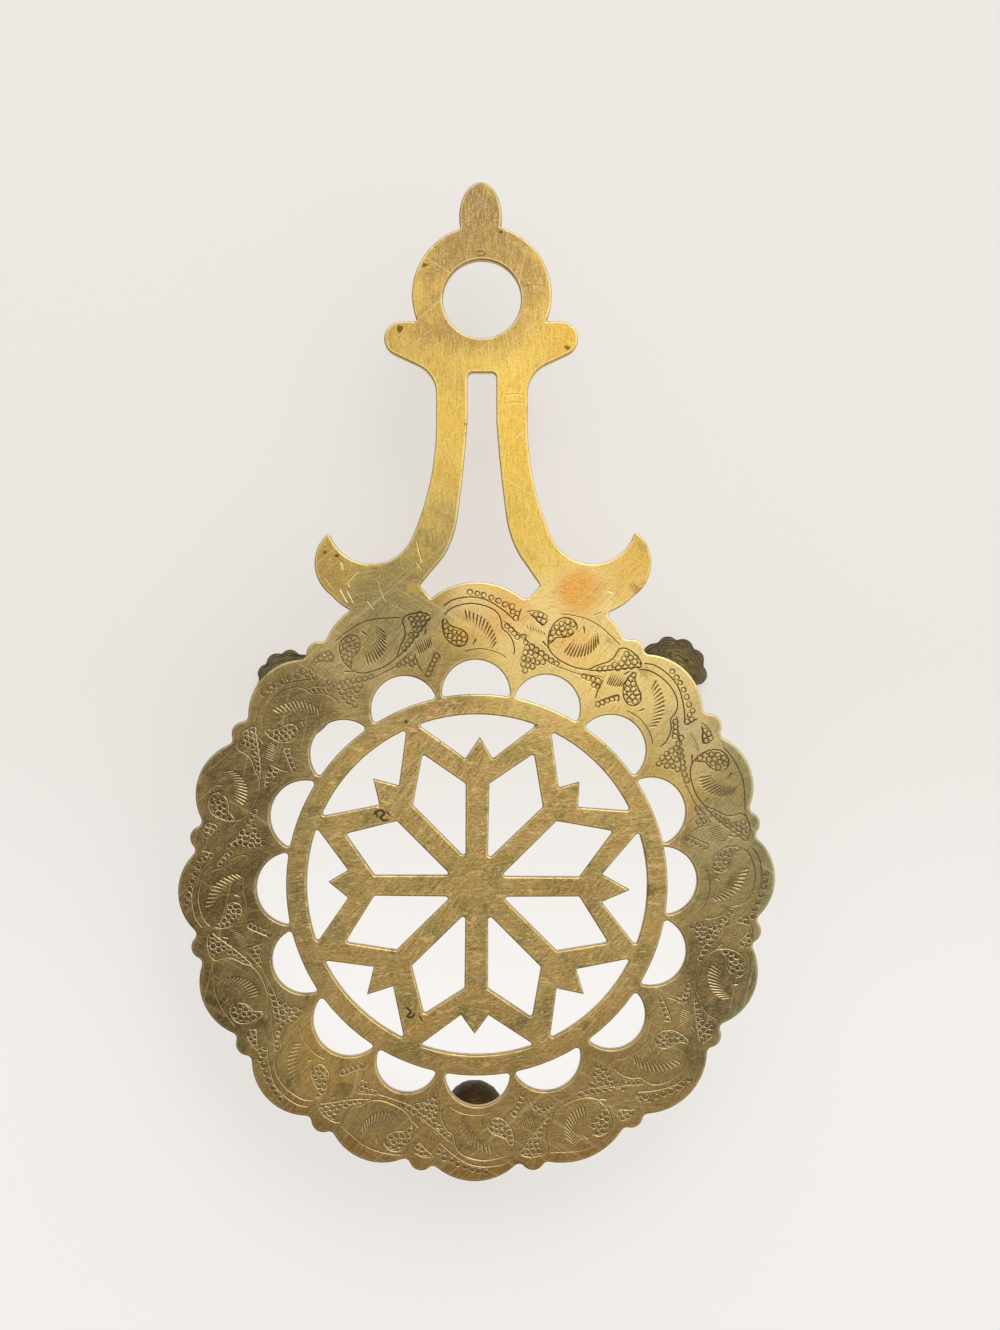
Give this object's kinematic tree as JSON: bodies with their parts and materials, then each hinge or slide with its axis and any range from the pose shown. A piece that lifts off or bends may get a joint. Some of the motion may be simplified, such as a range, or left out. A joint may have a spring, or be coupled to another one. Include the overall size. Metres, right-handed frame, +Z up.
{
  "type": "footed brass trivet",
  "caption": "Round pierced brass trivet with a scalloped engraved rim, a star centre, a long handle with a hanging eye, and cast paw feet.",
  "frame": {"origin": "on the table under the middle of the whole trivet's box, handle and toes included", "axes": "+Z up out of the engraved face, +Y along the handle to its finial, +X to the right seen from above with the handle away"},
  "size_m": [0.1783, 0.3074, 0.036],
  "materials": {
    "plate_brass": "old polished brass, finely scratched, dark in the engraving",
    "foot_brass": "cast brass, unpolished and darkened brown"
  },
  "bodies": {
    "root": {"plate_with_handle": "plate_brass", "foot_right": "foot_brass", "foot_front": "foot_brass", "foot_left": "foot_brass"}
  },
  "joints": []
}
